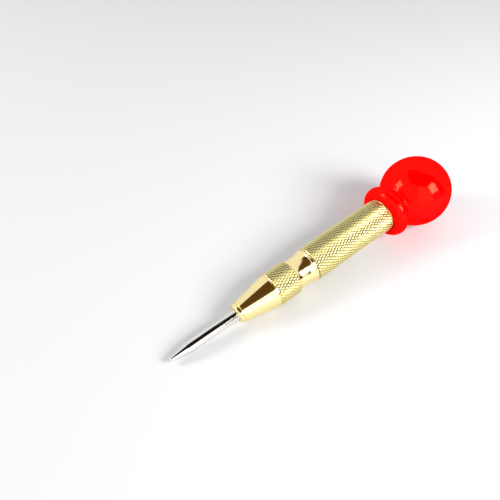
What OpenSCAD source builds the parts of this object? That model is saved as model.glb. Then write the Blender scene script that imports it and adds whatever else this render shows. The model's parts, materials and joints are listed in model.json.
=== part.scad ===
// Automatic centre punch, lying on a bench with its point towards -X.
// Every piece is turned about the tool's own axis. A station is a distance along
// that axis from the sharp end, and a profile is a list of [radius, station].

/* [Punch point] */
// Diameter of the ground shank
shank_d = 3.8; // [3.6:0.1:4]
// Length of the long taper at the working end
taper_len = 7.2; // [5:0.1:9]
// Diameter where the short cone meets the long taper
tip_d = 1.6; // [1.2:0.1:2]
// Length of the short cone at the very end
tip_len = 0.7; // [0.4:0.1:1.2]
// How far the point can be pushed in before the hammer is released
stroke = 10; // [8:0.5:10]

/* [Nose piece] */
// Station of the nose piece's front face
nose_start = 26.7; // [25:0.1:28]
// Diameter of the nose piece's front face
nose_d = 7.1; // [6.6:0.1:8]
// Diameter of the knurled grip band
band_d = 12.6; // [12.2:0.1:13]
// Length of the knurled grip band
band_len = 8.9; // [8:0.1:9.5]
// Smallest diameter of the hollow waist behind the band
waist_d = 11.2; // [10.6:0.1:12]

/* [Barrel] */
// Outside diameter of the barrel
barrel_d = 13; // [12.8:0.1:13.2]
// Station of the barrel's front end
barrel_start = 58.7; // [58.2:0.1:59]
// Station of the barrel's rear end
barrel_end = 103; // [102:0.1:103]

/* [Hammer and trip pin] */
// Diameter of the hammer block
hammer_d = 8.8; // [8.4:0.1:8.8]
// Length of the hammer block
hammer_len = 20; // [16:0.5:20]
// Angle at which the trip pin leans when the punch is at rest
trip_lean = 2.5; // [1:0.1:2.5]

/* [Springs] */
// Wire diameter of the main spring
main_wire = 1.1; // [0.9:0.05:1.2]
// Number of turns in the main spring
main_turns = 10; // [7:1:11]
// Wire diameter of the return spring
return_wire = 0.5; // [0.4:0.05:0.5]
// Number of turns in the return spring
return_turns = 7; // [5:1:9]

/* [Tension cap] */
// Diameter of the threaded stem, inside the barrel
cap_stem_d = 10.44; // [10.3:0.02:10.44]
// Station of the tension cap's rear end, inside the ball
cap_end = 118; // [115:0.5:119]

/* [Ball handle] */
// Diameter of the ball
ball_d = 27; // [25:0.5:29]
// Station of the ball's centre
ball_centre = 113.5; // [112.5:0.1:114.5]
// Largest diameter of the flange in front of the ball
flange_d = 20.2; // [19:0.1:21]
// Station of the flange's widest point
flange_centre = 97.5; // [97:0.1:98]
// Radius of the flange's rounded lip
lip_r = 3; // [2.6:0.1:3.2]
// Radius of the fillet between flange and ball
neck_r = 1.2; // [0.8:0.1:1.6]

/* [Hidden] */
round_fn = 96;
steel = "silver";
brass = "goldenrod";

// Punch point, behind the shank
guided_start = nose_start - 0.1;
guided_d = shank_d + 0.4;
collar_start = 38;
collar_end = 41;
collar_d = 6.6;
stub_end = 43;
stub_d = 4.8;
cup_r = 1.75;
tip_flat_d = 0.3;

// Nose piece
lip_len = 1.3;
guide_bore = guided_d + 0.1;
chamber_d = 7;
coiled_len = 6;
chamber_end = collar_end + stroke + coiled_len;
funnel_end = chamber_end + 3;
throat_d = 4.8;
nose_end = 64.9;
nose_thread_d = 9.94;
groove_d = 11.9;
groove_len = 0.5;
cone_end = 41.2;
cone_end_d = 12.4;
band_start = cone_end + groove_len;
band_end = band_start + band_len;
land_start = barrel_start - 0.7;
land_d = 12.5;
waist_station = band_end + 2.4;
waist_steps = 8;

// Barrel
nose_thread_bore = 10;
hammer_bore = hammer_d + 0.1;
cap_thread_bore = 10.6;
cap_thread_start = 93;
barrel_chamfer = 0.35;
collar_seat_start = flange_centre - lip_r - 0.1;
collar_seat_d = barrel_d - 0.4;

// Trip pin, pivoting in the point's cup
pin_pivot = stub_end;
pin_dome_r = 1.65;
pin_neck_d = 2.6;
pin_body_start = 43.6;
pin_body_end = 52;
pin_body_d = 4.4;
pin_stem_d = 2.6;
pin_end = 65;

// Hammer
hammer_start = 65.1;
hammer_end = hammer_start + hammer_len;
hammer_hole_d = 3;
hammer_hole_depth = 12;
spigot_d = 5.6;
spigot_len = 4;
hammer_chamfer = 0.4;

// Spring seat, between the main spring and the tension cap
seat_start = 110;
seat_end = 111.45;
seat_d = 8.4;
seat_pip_d = 5.6;
seat_pip_len = 2.5;

// Springs
wire_sides = 8;
steps_per_turn = 16;
main_od = 8.4;
return_od = 6.6;

// Tension cap
cap_start = 95;
cap_bore_d = 8.9;
cap_bore_end = 111.5;
cap_head_start = barrel_end + 0.3;
cap_head_d = 12.96;

// Ball handle
ball_r = ball_d / 2;
cap_pocket_d = 13;
collar_bore_d = barrel_d + 0.2;
gate_mark_d = 1.6;
gate_mark_depth = 0.15;

// The tool rests on the ball and on the grip band's front edge.
rest_r = band_d / 2;
rest_span = ball_centre - band_start;
tilt = asin(ball_r / norm([rest_span, rest_r])) - atan(rest_r / rest_span);
end_height = ball_r - ball_centre * sin(tilt);
front_x = -tip_flat_d / 2 * sin(tilt);
rear_x = ball_centre * cos(tilt) + ball_r;

// Stands the tool on the bench, centred over the origin, point towards -X.
module lie_down() {
    translate([-(front_x + rear_x) / 2, 0, end_height])
        rotate([0, 90 - tilt, 0])
            children();
}

// A turned solid with the given half profile of [radius, station] points.
module turned(profile) {
    rotate_extrude($fn = round_fn) polygon(profile);
}

// A plain round hole or bar between two stations.
module bar(d, start, end) {
    translate([0, 0, start]) cylinder(d = d, h = end - start, $fn = round_fn);
}

// A round bar or hole that tapers between two stations.
module taper(d_start, d_end, start, end) {
    translate([0, 0, start])
        cylinder(d1 = d_start, d2 = d_end, h = end - start, $fn = round_fn);
}

module punch_point() {
    color(steel) lie_down() difference() {
        turned([
            [0, 0],
            [tip_flat_d / 2, 0],
            [tip_d / 2, tip_len],
            [shank_d / 2, taper_len],
            [shank_d / 2, guided_start],
            [guided_d / 2, guided_start],
            [guided_d / 2, collar_start],
            [collar_d / 2, collar_start],
            [collar_d / 2, collar_end],
            [stub_d / 2, collar_end],
            [stub_d / 2, stub_end],
            [0, stub_end],
        ]);
        translate([0, 0, stub_end]) sphere(cup_r, $fn = round_fn);
    }
}

// Radius of the waist at a station: two parabolas that meet at the narrowest place.
function waist_r(s) =
    let (
        before = s < waist_station,
        end_r = (before ? groove_d : land_d) / 2,
        reach = before ? waist_station - band_end : land_start - waist_station
    )
    waist_d / 2 + (end_r - waist_d / 2) * pow((s - waist_station) / reach, 2);

module nose_piece() {
    waist = [
        for (i = [0:waist_steps])
            let (s = band_end + (land_start - band_end) * i / waist_steps)
            [waist_r(s), s]
    ];
    color(brass) lie_down() difference() {
        turned(concat(
            [
                [0, nose_start],
                [nose_d / 2 - 0.4, nose_start],
                [nose_d / 2, nose_start + 0.4],
                [nose_d / 2 + 0.1, nose_start + lip_len],
                [nose_d / 2 - 0.05, nose_start + lip_len + 0.15],
                [nose_d / 2 + 0.2, nose_start + lip_len + 0.3],
                [cone_end_d / 2, cone_end],
                [groove_d / 2, cone_end],
                [groove_d / 2, band_start],
                [band_d / 2, band_start],
                [band_d / 2, band_end],
            ],
            waist,
            [
                [land_d / 2, barrel_start],
                [nose_thread_d / 2, barrel_start],
                [nose_thread_d / 2, nose_end],
                [0, nose_end],
            ]
        ));
        bar(guide_bore, nose_start - 1, collar_start + 1);
        bar(chamber_d, collar_start, chamber_end);
        taper(chamber_d, throat_d, chamber_end, funnel_end);
        bar(throat_d, chamber_end, nose_end + 1);
    }
}

module barrel() {
    r = barrel_d / 2;
    c = barrel_chamfer;
    color(brass) lie_down() difference() {
        turned([
            [0, barrel_start],
            [r - c, barrel_start],
            [r, barrel_start + c],
            [r, collar_seat_start],
            [collar_seat_d / 2, collar_seat_start],
            [collar_seat_d / 2, barrel_end],
            [0, barrel_end],
        ]);
        bar(nose_thread_bore, barrel_start - 1, hammer_start);
        bar(hammer_bore, barrel_start, barrel_end);
        bar(cap_thread_bore, cap_thread_start, barrel_end + 1);
    }
}

module trip_pin() {
    color(steel) lie_down()
        translate([0, 0, pin_pivot]) rotate([0, trip_lean, 0]) translate([0, 0, -pin_pivot])
            union() {
                translate([0, 0, pin_pivot]) sphere(pin_dome_r, $fn = round_fn);
                bar(pin_neck_d, pin_pivot, pin_body_start + 1);
                bar(pin_body_d, pin_body_start, pin_body_end);
                bar(pin_stem_d, pin_body_start, pin_end);
            }
}

module hammer() {
    r = hammer_d / 2;
    c = hammer_chamfer;
    color(steel) lie_down() difference() {
        turned([
            [0, hammer_start],
            [r - c, hammer_start],
            [r, hammer_start + c],
            [r, hammer_end - c],
            [r - c, hammer_end],
            [spigot_d / 2, hammer_end],
            [spigot_d / 2, hammer_end + spigot_len],
            [0, hammer_end + spigot_len],
        ]);
        bar(hammer_hole_d, hammer_start - 1, hammer_start + hammer_hole_depth);
    }
}

module spring_seat() {
    color(steel) lie_down() union() {
        bar(seat_pip_d, seat_start - seat_pip_len, seat_end);
        bar(seat_d, seat_start, seat_end);
    }
}

// Height of the wire's centre after u turns, with one closed turn at each end.
function coil_height(u, turns, wire, length) =
    let (
        closed = wire * 1.04,
        open = (length - wire - 2 * closed) / (turns - 2)
    )
    wire / 2 + (u < 1 ? u * closed
        : u < turns - 1 ? closed + (u - 1) * open
        : length - wire - (turns - u) * closed);

// A compression spring between two stations, as one swept wire.
module spring(wire, od, turns, start, end) {
    rings = turns * steps_per_turn;
    coil_r = (od - wire) / 2;
    points = [
        for (i = [0:rings], j = [0:wire_sides - 1])
            let (
                u = i / steps_per_turn,
                around = 360 * j / wire_sides,
                r = coil_r + wire / 2 * cos(around)
            )
            [
                r * cos(360 * u),
                r * sin(360 * u),
                start + coil_height(u, turns, wire, end - start) + wire / 2 * sin(around),
            ]
    ];
    sides = [
        for (i = [0:rings - 1], j = [0:wire_sides - 1])
            let (a = i * wire_sides, k = (j + 1) % wire_sides)
            [a + j, a + k, a + wire_sides + k, a + wire_sides + j]
    ];
    first = [for (j = [wire_sides - 1:-1:0]) j];
    last = [for (j = [0:wire_sides - 1]) rings * wire_sides + j];
    polyhedron(points, concat([first, last], sides));
}

module return_spring() {
    color(steel) lie_down()
        spring(return_wire, return_od, return_turns, collar_end + 0.05, chamber_end + 0.3);
}

module main_spring() {
    color(steel) lie_down()
        spring(main_wire, main_od, main_turns, hammer_end + 0.05, seat_start - 0.05);
}

module tension_cap() {
    color(brass) lie_down() difference() {
        union() {
            bar(cap_stem_d, cap_start, cap_head_start);
            bar(cap_head_d, cap_head_start, cap_end);
        }
        bar(cap_bore_d, cap_start - 1, cap_bore_end);
    }
}

module ball_handle() {
    ring_r = flange_d / 2 - lip_r;
    // Centre of the fillet circle that touches both the lip and the ball
    gap = [-ring_r, ball_centre - flange_centre];
    reach = norm(gap);
    to_lip = lip_r + neck_r;
    to_ball = ball_r + neck_r;
    along = (to_lip * to_lip - to_ball * to_ball + reach * reach) / (2 * reach);
    out = sqrt(to_lip * to_lip - along * along);
    unit = gap / reach;
    lip_c = [ring_r, flange_centre];
    neck_c = lip_c + along * unit + out * [unit[1], -unit[0]];
    color("red") lie_down() difference() {
        rotate_extrude($fn = round_fn) intersection() {
            translate([0, flange_centre - lip_r])
                square([flange_d, ball_centre + ball_r - flange_centre + lip_r]);
            union() {
                translate([0, ball_centre]) circle(ball_r, $fn = round_fn);
                translate(lip_c) circle(lip_r, $fn = round_fn);
                difference() {
                    polygon([[0, flange_centre - lip_r], [ring_r, flange_centre - lip_r],
                        lip_c, neck_c, [0, ball_centre]]);
                    translate(neck_c) circle(neck_r, $fn = round_fn);
                }
            }
        }
        bar(collar_bore_d, flange_centre - lip_r - 1, cap_head_start);
        bar(cap_pocket_d, flange_centre, cap_end);
        translate([0, 0, ball_centre + ball_r - gate_mark_depth])
            cylinder(d = gate_mark_d, h = 1, $fn = round_fn);
    }
}

punch_point();
nose_piece();
barrel();
return_spring();
trip_pin();
hammer();
main_spring();
spring_seat();
tension_cap();
ball_handle();
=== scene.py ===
"""Looks for the automatic centre punch: knurled brass, a ground steel point and a glossy red ball.

Every turned piece is a lathe mesh about the tool's own axis. Stations and radii are millimetres,
with stations measured from the point's end, as in the CAD model.
"""

import json
import math

import bmesh
import bpy
import numpy as np
from mathutils import Matrix, Vector

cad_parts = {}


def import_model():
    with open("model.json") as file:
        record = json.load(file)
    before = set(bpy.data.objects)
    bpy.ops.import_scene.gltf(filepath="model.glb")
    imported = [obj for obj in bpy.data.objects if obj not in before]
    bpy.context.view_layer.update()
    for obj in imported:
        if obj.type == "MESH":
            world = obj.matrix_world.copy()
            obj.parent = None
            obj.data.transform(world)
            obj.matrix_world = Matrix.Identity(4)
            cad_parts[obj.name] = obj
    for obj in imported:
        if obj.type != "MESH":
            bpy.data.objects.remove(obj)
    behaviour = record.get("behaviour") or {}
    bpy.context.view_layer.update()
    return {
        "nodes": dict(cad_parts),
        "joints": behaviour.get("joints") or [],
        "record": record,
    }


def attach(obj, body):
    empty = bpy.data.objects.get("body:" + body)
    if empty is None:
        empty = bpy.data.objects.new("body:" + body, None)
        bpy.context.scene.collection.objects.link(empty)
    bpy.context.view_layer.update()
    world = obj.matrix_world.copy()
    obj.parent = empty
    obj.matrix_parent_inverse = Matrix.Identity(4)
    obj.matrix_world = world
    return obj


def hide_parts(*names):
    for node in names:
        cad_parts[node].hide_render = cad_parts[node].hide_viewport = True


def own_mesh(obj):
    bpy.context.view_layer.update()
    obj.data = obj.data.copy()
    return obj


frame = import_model()

MM = 0.001
MOUNTS = {m["name"]: m for m in frame["record"]["mounts"]}
JOINTS = {j["name"]: j for j in frame["joints"]}
TIP = Vector(MOUNTS["work_point"]["pos_m"])
AXIS = Vector(JOINTS["tip_slide"]["axis"]).normalized()
SIDE = Vector((0, 1, 0))
UP = AXIS.cross(SIDE)
TILT = math.asin(AXIS.z)


def at(station, radius=0.0, angle=0.0):
    """The point at a station, radius (both mm) and angle about the tool's axis, in the row frame."""
    out = UP * math.cos(angle) + SIDE * math.sin(angle)
    return TIP + (AXIS * station + out * radius) * MM


# --- Profiles -----------------------------------------------------------------------------

def rounded(corners, closed=True, steps=5):
    """Rounds the corners (station, radius, fillet) of a profile; returns [(station, radius)]."""
    points = []
    count = len(corners)
    for i, (station, radius, fillet) in enumerate(corners):
        corner = Vector((station, radius))
        if fillet == 0 or (not closed and i in (0, count - 1)):
            points.append(tuple(corner))
            continue
        to_last = (Vector(corners[i - 1][:2]) - corner).normalized()
        to_next = (Vector(corners[(i + 1) % count][:2]) - corner).normalized()
        half = to_last.angle(to_next) / 2
        centre = corner + (to_last + to_next).normalized() * (fillet / math.sin(half))
        start = corner + to_last * (fillet / math.tan(half)) - centre
        end = corner + to_next * (fillet / math.tan(half)) - centre
        turn = start.angle_signed(end)
        for k in range(steps + 1):
            spoke = start.copy()
            spoke.rotate(Matrix.Rotation(-turn * k / steps, 2))
            points.append(tuple(centre + spoke))
    return points


def arc(centre, radius, start, end, steps):
    """Points of an arc in (station, radius), with angles in degrees from the +station direction."""
    angles = np.radians(np.linspace(start, end, steps + 1))
    return [(centre[0] + radius * math.cos(a), centre[1] + radius * math.sin(a)) for a in angles]


# --- Lathe meshes -------------------------------------------------------------------------

def lathe(name, rings, around, closed):
    """A turned mesh. Each ring is (station, radius) or (station, radii, depths) where it is knurled."""
    angles = np.linspace(0, 2 * math.pi, around, endpoint=False)
    out = np.outer(np.cos(angles), UP) + np.outer(np.sin(angles), SIDE)
    points, grooves, starts = [], [], []
    for ring in rings:
        middle = np.array(TIP) + np.array(AXIS) * ring[0] * MM
        starts.append(len(points))
        if is_pole(ring):
            points.append(middle)
            grooves.append(0.0)
            continue
        radii = np.broadcast_to(np.asarray(ring[1], float), (around,))
        points.extend(middle + out * radii[:, None] * MM)
        grooves.extend(ring[2] if is_knurled(ring) else [0.0] * around)
    pairs = [(i, i + 1) for i in range(len(rings) - 1)]
    if closed:
        pairs.append((len(rings) - 1, 0))
    faces, smooth = [], []
    for i, k in pairs:
        knurled = is_knurled(rings[i]) and is_knurled(rings[k])
        for j in range(around):
            n = (j + 1) % around
            a, b, c, d = starts[i] + j, starts[k] + j, starts[k] + n, starts[i] + n
            if is_pole(rings[i]):
                fresh = [(starts[i], b, c)]
            elif is_pole(rings[k]):
                fresh = [(a, starts[k], d)]
            elif knurled:
                fresh = facets(a, b, c, d, grooves)
            else:
                fresh = [(a, b, c, d)]
            faces.extend(fresh)
            smooth.extend([not knurled] * len(fresh))
    return mesh_object(name, points, faces, smooth, grooves)


def is_pole(ring):
    """Whether a ring is a single point on the axis."""
    return np.isscalar(ring[1]) and ring[1] == 0


def is_knurled(ring):
    """Whether a ring carries groove depths."""
    return len(ring) == 3


def facets(a, b, c, d, grooves):
    """Two triangles over four corners, split along the diagonal that follows the ridge or groove."""
    if abs(grooves[a] - grooves[c]) < abs(grooves[d] - grooves[b]):
        return [(a, b, c), (a, c, d)]
    return [(a, b, d), (b, c, d)]


CREASE = math.radians(32)


def mesh_object(name, points, faces, smooth, grooves=None):
    """A mesh object with its smooth faces, creases and groove depths."""
    mesh = bpy.data.meshes.new(name)
    mesh.from_pydata([tuple(p) for p in points], [], faces)
    # Marking the creases makes every face smooth, so the flat facets are set after it.
    mesh.set_sharp_from_angle(angle=CREASE)
    mesh.polygons.foreach_set("use_smooth", smooth)
    if grooves is not None:
        depth = mesh.attributes.new("groove", "FLOAT", "POINT")
        depth.data.foreach_set("value", np.asarray(grooves, np.float32))
    obj = bpy.data.objects.new(name, mesh)
    bpy.context.scene.collection.objects.link(obj)
    turn_outward(mesh)
    return obj


def turn_outward(mesh):
    """Makes the normals of a closed mesh point outward."""
    work = bmesh.new()
    work.from_mesh(mesh)
    bmesh.ops.recalc_face_normals(work, faces=work.faces)
    work.to_mesh(mesh)
    work.free()


KNURL_ANGLE = math.radians(30)
KNURL_STEPS = 8
KNURL_SHAPE = np.array([1.0, 0.66, 0.3, 0.06, 0.0, 0.06, 0.3, 0.66])


def knurl(start, end, radius, teeth, depth, chamfer):
    """Rings of a diamond knurl between two stations, its crests at the given radius."""
    around = teeth * KNURL_STEPS
    step = 2 * math.pi * radius / around / math.tan(KNURL_ANGLE)
    count = round((end - start) / step)
    step = (end - start) / count
    index = np.arange(around)
    rings = []
    for k in range(count + 1):
        station = start + k * step
        edge = min(station - start, end - station)
        limit = radius - max(0.0, chamfer - edge)
        groove = np.maximum(
            KNURL_SHAPE[(index + k) % KNURL_STEPS], KNURL_SHAPE[(index - k) % KNURL_STEPS]
        )
        radii = np.minimum(limit, radius - depth * groove)
        rings.append((station, radii, groove))
    return rings


COIL_SIDES = 12
COIL_STEPS = 40
CLOSED_PITCH = 1.04


def helix(name, wire, diameter, turns, start, end):
    """A compression spring of round wire between two stations, with a closed turn at each end."""
    closed = wire * CLOSED_PITCH
    spare = (end - start - wire - 2 * closed) / (turns - 2)
    points, faces = [], []
    count = turns * COIL_STEPS
    for i in range(count + 1):
        u = i / COIL_STEPS
        if u < 1:
            height = u * closed
        elif u < turns - 1:
            height = closed + (u - 1) * spare
        else:
            height = end - start - wire - (turns - u) * closed
        for j in range(COIL_SIDES):
            round_wire = 2 * math.pi * j / COIL_SIDES
            radius = (diameter - wire) / 2 + wire / 2 * math.cos(round_wire)
            station = start + wire / 2 + height + wire / 2 * math.sin(round_wire)
            points.append(at(station, radius, 2 * math.pi * u))
    for i in range(count):
        for j in range(COIL_SIDES):
            n = (j + 1) % COIL_SIDES
            a, b = i * COIL_SIDES, (i + 1) * COIL_SIDES
            faces.append((a + j, b + j, b + n, a + n))
    faces.append(tuple(range(COIL_SIDES)))
    faces.append(tuple(count * COIL_SIDES + j for j in reversed(range(COIL_SIDES))))
    return mesh_object(name, points, faces, [True] * len(faces))


# --- Materials ----------------------------------------------------------------------------

def mix_colours(tree, factor, first, second):
    """A colour mix whose ends are sockets or (r, g, b)."""
    node = tree.nodes.new("ShaderNodeMix")
    node.data_type = "RGBA"
    for socket, value in ((node.inputs[6], first), (node.inputs[7], second)):
        if isinstance(value, tuple):
            socket.default_value = (*value, 1)
        else:
            tree.links.new(value, socket)
    tree.links.new(factor, node.inputs[0])
    return node.outputs[2]


class Nodes:
    """Short calls for building one node material around a Principled shader."""

    def __init__(self, name):
        self.material = bpy.data.materials.new(name)
        self.material.use_nodes = True
        self.tree = self.material.node_tree
        self.shader = self.tree.nodes["Principled BSDF"]

    def add(self, kind, **inputs):
        node = self.tree.nodes.new(kind)
        for key, value in inputs.items():
            node.inputs[key.replace("_", " ")].default_value = value
        return node

    def link(self, out, into):
        self.tree.links.new(out, into)

    def along_tool(self, scale):
        """Object coordinates turned so that X runs along the tool, then scaled."""
        place = self.add("ShaderNodeTexCoord")
        turn = self.add("ShaderNodeMapping", Rotation=(0, TILT, 0), Scale=scale)
        self.link(place.outputs["Object"], turn.inputs["Vector"])
        return turn.outputs["Vector"]

    def noise(self, scale, detail=3.0, stretch=(1, 1, 1), roughness=0.5):
        node = self.add("ShaderNodeTexNoise", Scale=scale, Detail=detail, Roughness=roughness)
        self.link(self.along_tool(stretch), node.inputs["Vector"])
        return node.outputs["Fac"]

    def spread(self, value, low, high, out_low, out_high):
        node = self.add("ShaderNodeMapRange")
        node.inputs["From Min"].default_value = low
        node.inputs["From Max"].default_value = high
        node.inputs["To Min"].default_value = out_low
        node.inputs["To Max"].default_value = out_high
        self.link(value, node.inputs["Value"])
        return node.outputs["Result"]

    def mix(self, factor, first, second):
        return mix_colours(self.tree, factor, first, second)

    def bump(self, height, distance):
        node = self.add("ShaderNodeBump", Strength=1.0, Distance=distance)
        self.link(height, node.inputs["Height"])
        self.link(node.outputs["Normal"], self.shader.inputs["Normal"])
        return node.outputs["Normal"]

    def film(self, top, share):
        """Lays a thin even film of another shader over the surface."""
        both = self.add("ShaderNodeMixShader", Fac=share)
        self.link(self.shader.outputs[0], both.inputs[1])
        self.link(top.outputs[0], both.inputs[2])
        self.link(both.outputs[0], self.tree.nodes["Material Output"].inputs["Surface"])

    def haze(self, colour, share):
        """A thin film of dull colour."""
        self.film(self.add("ShaderNodeBsdfDiffuse", Color=(*colour, 1)), share)

    def set(self, **inputs):
        for key, value in inputs.items():
            self.shader.inputs[key.replace("_", " ")].default_value = value


TURNING_MARKS = 0.00001
KNURL_GRAIN = 0.000006
ORANGE_PEEL = 0.000008
GLOSS_SHARE = 0.02


def turned_metal(name, tone, other_tone, low_rough, high_rough):
    """Polished metal with faint turning marks round the tool and slight changes of tone."""
    m = Nodes(name)
    m.set(Metallic=1.0)
    tarnish = m.spread(m.noise(90, 4), 0.35, 0.7, 0, 1)
    m.link(m.mix(tarnish, tone, other_tone), m.shader.inputs["Base Color"])
    lines = m.noise(1.0, 5, (5200, 60, 60), 0.6)
    rough = m.spread(m.noise(260, 5), 0.3, 0.7, low_rough, high_rough)
    m.link(rough, m.shader.inputs["Roughness"])
    m.bump(lines, TURNING_MARKS)
    return m


def knurled_metal(name, crest, groove, low_rough, high_rough):
    """Brass whose grooves are duller than its crests, with painted shade darkening them towards their
    deepest part.
    """
    m = Nodes(name)
    m.set(Metallic=1.0)
    depth = m.add("ShaderNodeAttribute")
    depth.attribute_name = "groove"
    # Painted shade: the base colour darkens towards the groove colour in the deepest part of each groove;
    # the higher roughness there is the real duller surface.
    shade = m.spread(depth.outputs["Fac"], 0.3, 1.0, 0, 1)
    wear = m.spread(m.noise(140, 4), 0.3, 0.7, 0, 1)
    pale = m.mix(wear, crest, tuple(c * 0.9 for c in crest))
    m.link(m.mix(shade, pale, groove), m.shader.inputs["Base Color"])
    m.link(m.spread(shade, 0, 1, low_rough, high_rough), m.shader.inputs["Roughness"])
    m.bump(m.noise(2600, 3), KNURL_GRAIN)
    return m


def red_plastic():
    """Moulded plastic with an even gloss and a faint orange-peel skin."""
    m = Nodes("red_plastic")
    m.set(Specular_IOR_Level=0.0, Roughness=0.5)
    patch = m.spread(m.noise(60, 3), 0.3, 0.7, 0, 1)
    m.link(m.mix(patch, (0.95, 0.0, 0.0), (0.88, 0.0, 0.001)), m.shader.inputs["Base Color"])
    skin = m.bump(m.noise(900, 2), ORANGE_PEEL)
    gloss = m.add("ShaderNodeBsdfGlossy", Color=(1.0, 0.36, 0.2, 1))
    m.link(m.spread(m.noise(500, 4), 0.3, 0.7, 0.05, 0.09), gloss.inputs["Roughness"])
    m.link(skin, gloss.inputs["Normal"])
    m.film(gloss, GLOSS_SHARE)
    return m


brass = turned_metal("brass_polished", (0.97, 0.86, 0.45), (0.95, 0.82, 0.40), 0.07, 0.12)
brass.haze((0.95, 0.36, 0.01), 0.045)
BRASS = brass.material
# The second colour is the painted shade laid into the knurl's grooves.
KNURL = knurled_metal("brass_knurled", (0.91, 0.83, 0.38), (0.22, 0.15, 0.01), 0.26, 0.36).material
POINT_STEEL = turned_metal("point_steel", (0.82, 0.80, 0.76), (0.76, 0.74, 0.70), 0.05, 0.10).material
HARD_STEEL = turned_metal("hard_steel", (0.48, 0.48, 0.50), (0.36, 0.36, 0.38), 0.24, 0.40).material
WIRE = turned_metal("spring_wire", (0.34, 0.34, 0.37), (0.22, 0.22, 0.25), 0.28, 0.42).material
RED = red_plastic().material


# --- Pieces -------------------------------------------------------------------------------

def place(piece, body, node, slot, *materials):
    """Gives a piece its materials and body, and lets it stand for its CAD node."""
    for material in materials:
        piece.data.materials.append(material)
    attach(piece, body)
    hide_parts(node)


INSIDE_R = 5.5
PAINT_MARGIN = 0.01


def paint_knurl(piece, start, end):
    """Puts the second material on the flat knurl facets between two stations."""
    low = start - PAINT_MARGIN
    high = end + PAINT_MARGIN
    for face in piece.data.polygons:
        from_tip = face.center - TIP
        station = from_tip.dot(AXIS)
        radius = (from_tip - AXIS * station).length / MM
        if low < station / MM < high and radius > INSIDE_R and not face.use_smooth:
            face.material_index = 1


BARREL_TEETH = 35
BARREL_R = 6.5
BARREL_START = 58.7
BARREL_END = 103.0
BARREL_CHAMFER = 0.35
COLLAR_SEAT = 94.4
COLLAR_SEAT_R = 6.3
CAP_BORE_R = 5.3
BORE_R = 4.45
THREAD_BORE_R = 5.0
KNURL_DEPTH = 0.18

BAND_TEETH = 34
BAND_R = 6.3
BAND_START = 41.7
BAND_END = 50.6
BAND_CHAMFER = 0.3

CONE_END = 41.2
CONE_R = 6.2
GROOVE_R = 5.75
THREAD_R = 4.97
CHAMBER_R = 3.5
FUNNEL_R = 2.4
GUIDE_R = 2.15


def barrel():
    """The knurled tube, turned down at its rear under the ball's collar."""
    grip = knurl(BARREL_START, COLLAR_SEAT, BARREL_R, BARREL_TEETH, KNURL_DEPTH, BARREL_CHAMFER)
    inside = rounded([
        (COLLAR_SEAT + 0.02, 6.15, 0), (COLLAR_SEAT + 0.12, COLLAR_SEAT_R, 0),
        (BARREL_END, COLLAR_SEAT_R, 0.25), (BARREL_END, CAP_BORE_R, 0.15), (93.0, CAP_BORE_R, 0.1),
        (93.0, BORE_R, 0.1), (65.1, BORE_R, 0.1), (65.1, THREAD_BORE_R, 0.1),
        (BARREL_START, THREAD_BORE_R, 0.1),
    ])
    piece = lathe("barrel_knurled", grip + inside, BARREL_TEETH * KNURL_STEPS, closed=True)
    place(piece, "barrel_body", "barrel", "brass", BRASS, KNURL)
    paint_knurl(piece, BARREL_START, COLLAR_SEAT)


WAIST_R = 5.6
WAIST_AT = 53.0
RIM_START = 57.3
RIM_R = 6.25


def waist_radius(station):
    """Radius of the hollow waist behind the grip band, up to the rim at its rear."""
    if station < WAIST_AT:
        return WAIST_R + 0.35 * ((WAIST_AT - station) / (WAIST_AT - BAND_END)) ** 2
    return WAIST_R + 0.42 * ((station - WAIST_AT) / (RIM_START - WAIST_AT)) ** 2.4


def nose_piece():
    """Cone, groove, knurled grip band, waist, rim and the thread that goes into the barrel."""
    cone = rounded([
        (27.05, GUIDE_R, 0), (26.7, 2.5, 0.05), (26.7, 3.15, 0.25), (27.1, 3.55, 0.3), (27.95, 3.6, 0.06),
        (28.15, 3.3, 0.04), (28.35, 3.7, 0.06), (CONE_END, CONE_R, 0.06), (41.22, GROOVE_R, 0.05),
        (41.6, GROOVE_R, 0.05), (41.63, 6.0, 0),
    ], closed=False)
    band = knurl(BAND_START, BAND_END, BAND_R, BAND_TEETH, KNURL_DEPTH, BAND_CHAMFER)
    waist = [(s, waist_radius(s)) for s in np.linspace(BAND_END + 0.03, RIM_START - 0.15, 28)]
    rear = rounded([
        (RIM_START - 0.1, 6.01, 0), (RIM_START + 0.1, 6.04, 0.08), (RIM_START + 0.3, RIM_R, 0.1),
        (58.38, RIM_R, 0.08), (58.6, 5.9, 0), (58.62, THREAD_R, 0), (64.9, THREAD_R, 0.3),
        (64.9, FUNNEL_R, 0.1), (60.0, FUNNEL_R, 0.3), (57.0, CHAMBER_R, 0.3), (38.0, CHAMBER_R, 0.2),
        (38.0, GUIDE_R, 0),
    ], closed=False)
    piece = lathe("nose_piece_turned", cone + band + waist + rear, BAND_TEETH * KNURL_STEPS, closed=True)
    place(piece, "barrel_body", "nose_piece", "brass", BRASS, KNURL)
    paint_knurl(piece, BAND_START, BAND_END)


SHANK_R = 1.9
GUIDED_R = 2.1
SHOULDER_R = 3.3
STUB_R = 2.4
STUB_END = 43.0
CUP_R = 1.75
POINT_AROUND = 96


def punch_point():
    """The tapered point, its guided shank, shoulder and the cup for the trip pin."""
    shank = rounded([
        (0.0, 0.0, 0), (0.0, 0.16, 0.06), (0.7, 0.8, 0.25), (7.2, SHANK_R, 1.2), (27.1, SHANK_R, 0),
        (27.2, GUIDED_R, 0), (38.0, GUIDED_R, 0.1), (38.0, SHOULDER_R, 0.2), (41.0, SHOULDER_R, 0.2),
        (41.0, STUB_R, 0.1), (STUB_END, STUB_R, 0.15),
    ], closed=False)
    cup = arc((STUB_END, 0.0), CUP_R, 90, 180, 10)[:-1]
    rings = shank[:-1] + [(STUB_END, 2.3)] + cup + [(STUB_END - CUP_R, 0.0)]
    piece = lathe("punch_point_ground", rings, POINT_AROUND, closed=False)
    place(piece, "point", "punch_point", "point_steel", POINT_STEEL)


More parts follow.
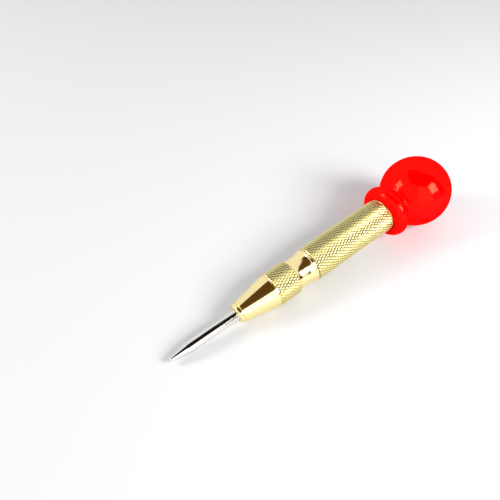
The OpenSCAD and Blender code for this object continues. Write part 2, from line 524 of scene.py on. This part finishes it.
BALL_R = 13.5
BALL_AT = 113.5
LIP_R = 3.0
LIP_AT = 97.5
RING_R = 7.1
NECK_R = 1.2
LIP_START_ANGLE = 190
GATE_ANGLE = 3.6
BALL_AROUND = 144


def ball_handle():
    """The ball and its rounded lip, joined by a small neck arc that touches both."""
    lip = Vector((LIP_AT, RING_R))
    ball = Vector((BALL_AT, 0))
    gap = ball - lip
    to_lip = LIP_R + NECK_R
    to_ball = BALL_R + NECK_R
    along = (to_lip ** 2 - to_ball ** 2 + gap.length ** 2) / (2 * gap.length)
    out = math.sqrt(to_lip ** 2 - along ** 2)
    unit = gap.normalized()
    neck = lip + unit * along + Vector((-unit.y, unit.x)) * out
    lip_turn = math.degrees(math.atan2(*(neck - lip).yx))
    ball_turn = math.degrees(math.atan2(*(neck - ball).yx))
    outside = arc(lip, LIP_R, LIP_START_ANGLE, lip_turn, 26)
    outside += arc(neck, NECK_R, 180 + lip_turn, 180 + ball_turn, 9)[1:]
    outside += arc(ball, BALL_R, ball_turn, GATE_ANGLE, 74)[1:]
    gate = [(126.96, 0.72), (126.86, 0.62), (126.84, 0.3), (126.84, 0.0)]
    inside = rounded([
        (118.0, 0.0, 0), (118.0, 6.5, 0.3), (103.3, 6.5, 0), (103.3, 6.6, 0), (94.75, 6.6, 0),
    ], closed=False)
    bore = [(94.52, 6.66)]
    piece = lathe("ball_handle_moulded", inside + bore + outside + gate, BALL_AROUND, closed=False)
    place(piece, "handle", "ball_handle", "red_plastic", RED)


RETURN_WIRE = 0.5
RETURN_D = 6.6
RETURN_TURNS = 7
RETURN_START = 41.05
RETURN_END = 57.3
MAIN_WIRE = 1.1
MAIN_D = 8.4
MAIN_TURNS = 10
MAIN_START = 85.15
MAIN_END = 109.95


def springs():
    """Both springs, each a coil of round wire between its stations."""
    back = helix("return_spring_coil", RETURN_WIRE, RETURN_D, RETURN_TURNS, RETURN_START, RETURN_END)
    place(back, "barrel_body", "return_spring", "spring_steel", WIRE)
    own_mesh(back)
    main = helix("main_spring_coil", MAIN_WIRE, MAIN_D, MAIN_TURNS, MAIN_START, MAIN_END)
    place(main, "barrel_body", "main_spring", "spring_steel", WIRE)
    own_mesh(main)


barrel()
nose_piece()
punch_point()
ball_handle()
springs()
for node, material in (
    ("trip_pin", HARD_STEEL), ("hammer", HARD_STEEL), ("spring_seat", HARD_STEEL), ("tension_cap", BRASS)
):
    mesh = frame["nodes"][node].data
    mesh.materials.clear()
    mesh.materials.append(material)


# --- Studio -------------------------------------------------------------------------------

FLOOR_HALF = 4.0


def floor():
    """A plain pale sheet of paper under the tool."""
    mesh = bpy.data.meshes.new("floor")
    corners = [(x * FLOOR_HALF, y * FLOOR_HALF, 0) for x, y in ((-1, -1), (1, -1), (1, 1), (-1, 1))]
    mesh.from_pydata(corners, [], [(0, 1, 2, 3)])
    obj = bpy.data.objects.new("floor", mesh)
    bpy.context.scene.collection.objects.link(obj)
    m = Nodes("floor_paper")
    m.link(
        m.mix(m.noise(3, 2), (0.565, 0.565, 0.57), (0.585, 0.585, 0.59)), m.shader.inputs["Base Color"]
    )
    m.set(Roughness=0.6, Specular_IOR_Level=0.2)
    mesh.materials.append(m.material)


def softbox(name, azimuth, elevation, distance, size, radiance):
    """An area light that faces the ball; azimuth is counted from +X towards +Y."""
    light = bpy.data.lights.new(name, "AREA")
    light.shape = "RECTANGLE"
    light.size, light.size_y = size
    light.energy = radiance * math.pi * light.size * light.size_y
    obj = bpy.data.objects.new(name, light)
    bpy.context.scene.collection.objects.link(obj)
    a, e = math.radians(azimuth), math.radians(elevation)
    direction = Vector((math.cos(a) * math.cos(e), math.sin(a) * math.cos(e), math.sin(e)))
    target = at(BALL_AT)
    obj.location = target + direction * distance
    obj.rotation_euler = direction.to_track_quat("Z", "Y").to_euler()


TENT = (0.95, 0.945, 0.98)
FRONT = (2.1, 2.1, 2.1)
FRONT_AZIMUTHS = (-135, -72)
GAP = (0.03, 0.015, 0.005)
GAP_AZIMUTHS = ((-81, -72), (-57, -40))
CEILING = (0.016, 0.012, 0.009)
TOP_TOWARDS = (0.12, -0.08, 1)
TOP_FROM = 0.80
TOP_EDGE = 0.02
RIGHT_TOWARDS = (1, 0.47, 0.74)
RIGHT_FROM = 0.983
RIGHT_EDGE = 0.015
WALL_EDGE = 0.03


def world():
    """A white light tent: brighter in front, dark above, with two brown gaps between its walls."""
    studio = bpy.data.worlds.new("studio")
    bpy.context.scene.world = studio
    studio.use_nodes = True
    tree = studio.node_tree
    direction = tree.nodes.new("ShaderNodeTexCoord").outputs["Generated"]
    split = tree.nodes.new("ShaderNodeSeparateXYZ")
    tree.links.new(direction, split.inputs[0])
    azimuth = tree.nodes.new("ShaderNodeMath")
    azimuth.operation = "ARCTAN2"
    tree.links.new(split.outputs["Y"], azimuth.inputs[0])
    tree.links.new(split.outputs["X"], azimuth.inputs[1])
    front = between(tree, azimuth.outputs[0], FRONT_AZIMUTHS)
    walls = mix_colours(tree, front, TENT, FRONT)
    for azimuths in GAP_AZIMUTHS:
        walls = mix_colours(tree, between(tree, azimuth.outputs[0], azimuths), walls, GAP)
    up = along(tree, direction, TOP_TOWARDS)
    above = ramp(tree, up, TOP_FROM - TOP_EDGE, TOP_FROM + TOP_EDGE)
    right = along(tree, direction, RIGHT_TOWARDS)
    beside = ramp(tree, right, RIGHT_FROM + RIGHT_EDGE, RIGHT_FROM - RIGHT_EDGE)
    sky = mix_colours(tree, product(tree, above, beside), walls, CEILING)
    tree.links.new(sky, tree.nodes["Background"].inputs["Color"])


def along(tree, direction, vector):
    """How far a direction reaches along a fixed vector."""
    node = tree.nodes.new("ShaderNodeVectorMath")
    node.operation = "DOT_PRODUCT"
    node.inputs[1].default_value = vector
    tree.links.new(direction, node.inputs[0])
    return node.outputs["Value"]


def product(tree, first, second):
    node = tree.nodes.new("ShaderNodeMath")
    node.operation = "MULTIPLY"
    tree.links.new(first, node.inputs[0])
    tree.links.new(second, node.inputs[1])
    return node.outputs[0]


def between(tree, azimuth, limits):
    """1 between two azimuths in degrees and 0 outside them, with soft edges."""
    low = math.radians(limits[0])
    high = math.radians(limits[1])
    rise = ramp(tree, azimuth, low, low + WALL_EDGE)
    fall = ramp(tree, azimuth, high, high - WALL_EDGE)
    return product(tree, rise, fall)


def ramp(tree, value, low, high):
    """A smooth step from 0 at low to 1 at high."""
    node = tree.nodes.new("ShaderNodeMapRange")
    node.interpolation_type = "SMOOTHSTEP"
    node.inputs["From Min"].default_value = low
    node.inputs["From Max"].default_value = high
    tree.links.new(value, node.inputs["Value"])
    return node.outputs["Result"]


CAMERA_FROM = (-0.08878, -0.08398, 0.13997)
CAMERA_AZIMUTH = math.radians(-35)
CAMERA_DOWN = math.radians(46.5)
CAMERA_ROLL = math.radians(-2.28)
CAMERA_LENS = 35.65


def camera():
    """The camera that was fitted to the photograph."""
    data = bpy.data.cameras.new("camera")
    data.sensor_width = 36
    data.lens = CAMERA_LENS
    data.clip_start = 0.01
    obj = bpy.data.objects.new("camera", data)
    bpy.context.scene.collection.objects.link(obj)
    a, e = CAMERA_AZIMUTH, CAMERA_DOWN
    forward = Vector((-math.sin(a) * math.cos(e), math.cos(a) * math.cos(e), -math.sin(e)))
    right = forward.cross(Vector((0, 0, 1))).normalized()
    turn = Matrix.Rotation(-CAMERA_ROLL, 3, forward)
    right = turn @ right
    up = right.cross(forward)
    look = Matrix((right, up, -forward)).transposed().to_4x4()
    obj.matrix_world = Matrix.Translation(CAMERA_FROM) @ look
    bpy.context.scene.camera = obj


floor()
softbox("right_softbox", -73.5, 35.3, 0.42, (0.17, 0.2), 24)
softbox("left_softbox", 145, 27.5, 0.8, (0.25, 0.27), 17)
world()
camera()
bpy.context.scene.view_settings.view_transform = "Standard"
